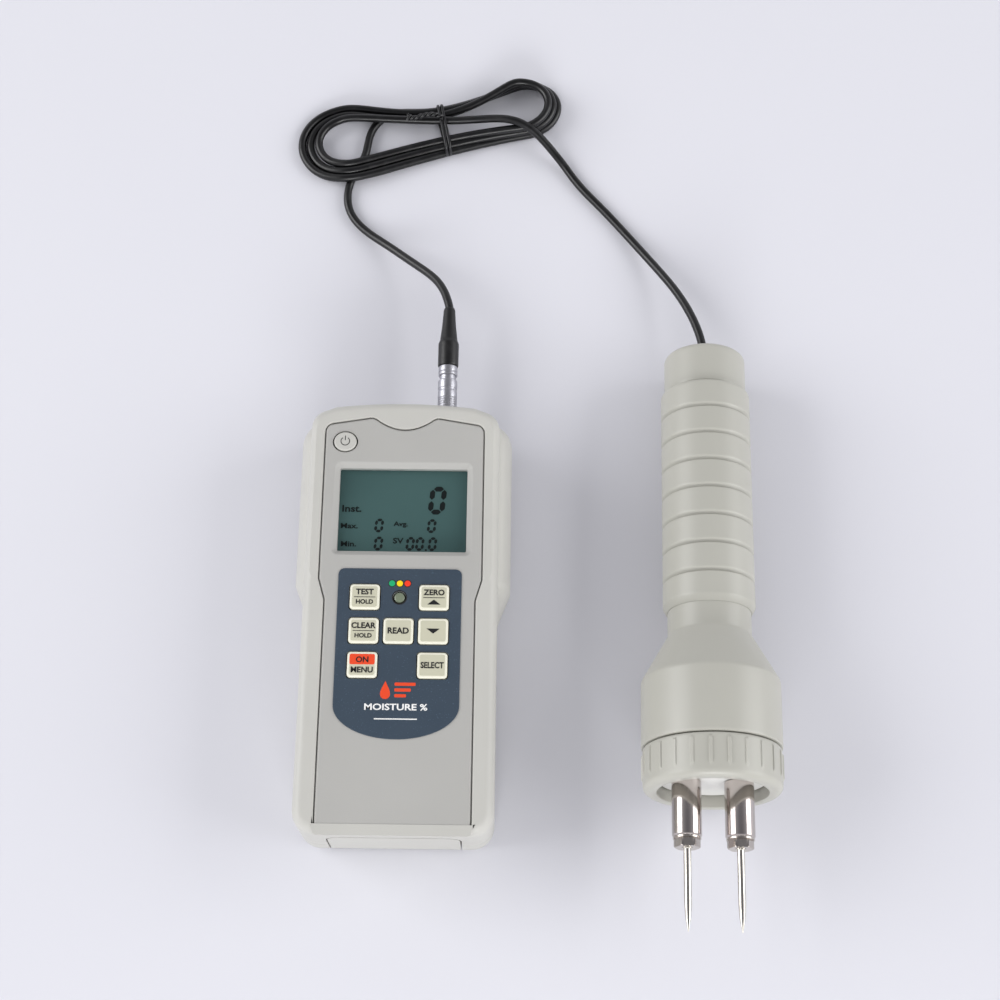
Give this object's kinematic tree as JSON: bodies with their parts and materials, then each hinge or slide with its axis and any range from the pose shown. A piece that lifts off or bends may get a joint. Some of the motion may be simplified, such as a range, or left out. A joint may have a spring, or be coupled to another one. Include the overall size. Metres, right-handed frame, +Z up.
{
  "type": "grain moisture meter",
  "caption": "Handheld meter with a display and push keys, joined by a coiled lead to a grip probe whose two pins sense moisture in grain.",
  "frame": {"origin": "centre of the box around the meter and the probe as they lie, without the lead and its plug, at the surface they lie on", "axes": "+Z up out of the display, +Y along the meter towards its plug, the probe's pins point towards -Y"},
  "size_m": [0.1601, 0.3049, 0.0449],
  "materials": {
    "case_plastic": "fine-textured warm grey",
    "plate_plastic": "fine-textured grey",
    "probe_plastic": "smooth moulded warm grey",
    "key_plastic": "printed cream",
    "clear_window": "clear acrylic",
    "label_film": "printed dark blue film with fine speckle",
    "display": "grey-green reflective display",
    "white_plastic": "plain white",
    "contact_rubber": "striped connector rubber",
    "circuit_board": "solder mask",
    "chip_black": "moulded",
    "led_resin": "diffused resin",
    "plated_steel": "zinc plated",
    "cell_wrap": "plain wrapped cells",
    "satin_nickel": "satin nickel",
    "bright_nickel": "bright nickel",
    "pin_steel": "polished",
    "brass_parts": "turned",
    "black_rubber": "smooth",
    "lead_jacket": "satin flexible jacket",
    "tie_plastic": "plastic coated wire"
  },
  "bodies": {
    "root": {"front_shell": "case_plastic", "rear_shell": "case_plastic", "face_plate": "plate_plastic", "window_lens": "clear_window", "keypad_label": "label_film", "lcd_panel": "display", "lcd_holder": "white_plastic", "zebra_strips": "contact_rubber", "main_board": "circuit_board", "board_chips": "chip_black", "key_switches": "chip_black", "status_led": "led_resin", "led_lens": "led_resin", "board_screws": "plated_steel", "case_screws": "plated_steel", "battery_cells": "cell_wrap", "battery_springs": "plated_steel", "battery_contacts": "plated_steel", "socket_shell": "satin_nickel", "socket_nut": "satin_nickel", "plug_body": "satin_nickel", "collet_nut": "satin_nickel", "strain_relief": "black_rubber", "lead_to_meter": "lead_jacket", "lead_hank": "lead_jacket", "lead_to_probe": "lead_jacket", "inner_cable": "lead_jacket", "twist_tie": "tie_plastic", "tail_cap": "probe_plastic", "cable_grommet": "black_rubber", "probe_grip": "probe_plastic", "probe_head": "probe_plastic", "pin_plate": "white_plastic", "electrode_left": "bright_nickel", "electrode_right": "bright_nickel", "stud_nuts": "brass_parts", "solder_lugs": "brass_parts", "pin_collar_left": "bright_nickel", "pin_collar_right": "bright_nickel", "pin_left": "pin_steel", "pin_right": "pin_steel"},
    "key_measure": {"key_measure": "key_plastic"},
    "key_zero": {"key_zero": "key_plastic"},
    "key_delete": {"key_delete": "key_plastic"},
    "key_read": {"key_read": "key_plastic"},
    "key_down": {"key_down": "key_plastic"},
    "key_menu": {"key_menu": "key_plastic"},
    "key_select": {"key_select": "key_plastic"},
    "power_button": {"power_button": "case_plastic"},
    "sleeve": {"plug_sleeve": "satin_nickel"},
    "battery_cover": {"battery_cover": "case_plastic"},
    "washer": {"slip_washer": "plated_steel"},
    "ring": {"ring_nut": "probe_plastic"}
  },
  "joints": [
    {"name": "key_measure_press", "type": "slide", "parent": "root", "child": "key_measure", "axis": [0, 0, -1], "range_m": [0, 0.0005], "stiffness_N_per_m": 600},
    {"name": "key_zero_press", "type": "slide", "parent": "root", "child": "key_zero", "axis": [0, 0, -1], "range_m": [0, 0.0005], "stiffness_N_per_m": 600},
    {"name": "key_delete_press", "type": "slide", "parent": "root", "child": "key_delete", "axis": [0, 0, -1], "range_m": [0, 0.0005], "stiffness_N_per_m": 600},
    {"name": "key_read_press", "type": "slide", "parent": "root", "child": "key_read", "axis": [0, 0, -1], "range_m": [0, 0.0005], "stiffness_N_per_m": 600},
    {"name": "key_down_press", "type": "slide", "parent": "root", "child": "key_down", "axis": [0, 0, -1], "range_m": [0, 0.0005], "stiffness_N_per_m": 600},
    {"name": "key_menu_press", "type": "slide", "parent": "root", "child": "key_menu", "axis": [0, 0, -1], "range_m": [0, 0.0005], "stiffness_N_per_m": 600},
    {"name": "key_select_press", "type": "slide", "parent": "root", "child": "key_select", "axis": [0, 0, -1], "range_m": [0, 0.0005], "stiffness_N_per_m": 600},
    {"name": "power_button_press", "type": "slide", "parent": "root", "child": "power_button", "axis": [0, 0, -1], "range_m": [0, 0.0005], "stiffness_N_per_m": 600},
    {"name": "sleeve_release", "type": "slide", "parent": "root", "child": "sleeve", "axis": [0, 1, 0], "range_m": [0, 0.0012], "stiffness_N_per_m": 1500},
    {"name": "battery_cover_slide", "type": "slide", "parent": "root", "child": "battery_cover", "axis": [0, -1, 0], "range_m": [0, 0.06]},
    {"name": "ring_travel", "type": "slide", "parent": "root", "child": "washer", "axis": [-0.0157, -0.9974, 0.0706], "range_m": [0, 0.003]},
    {"name": "ring_turn", "type": "hinge", "parent": "washer", "child": "ring", "pos_m": [0.0564, 0.094, 0.0135], "axis": [-0.0157, -0.9974, 0.0706], "range_deg": [0, 720]}
  ],
  "couplings": [
    {"joint": "ring_turn", "follows": "ring_travel", "rad_per_m": 4188.8}
  ]
}
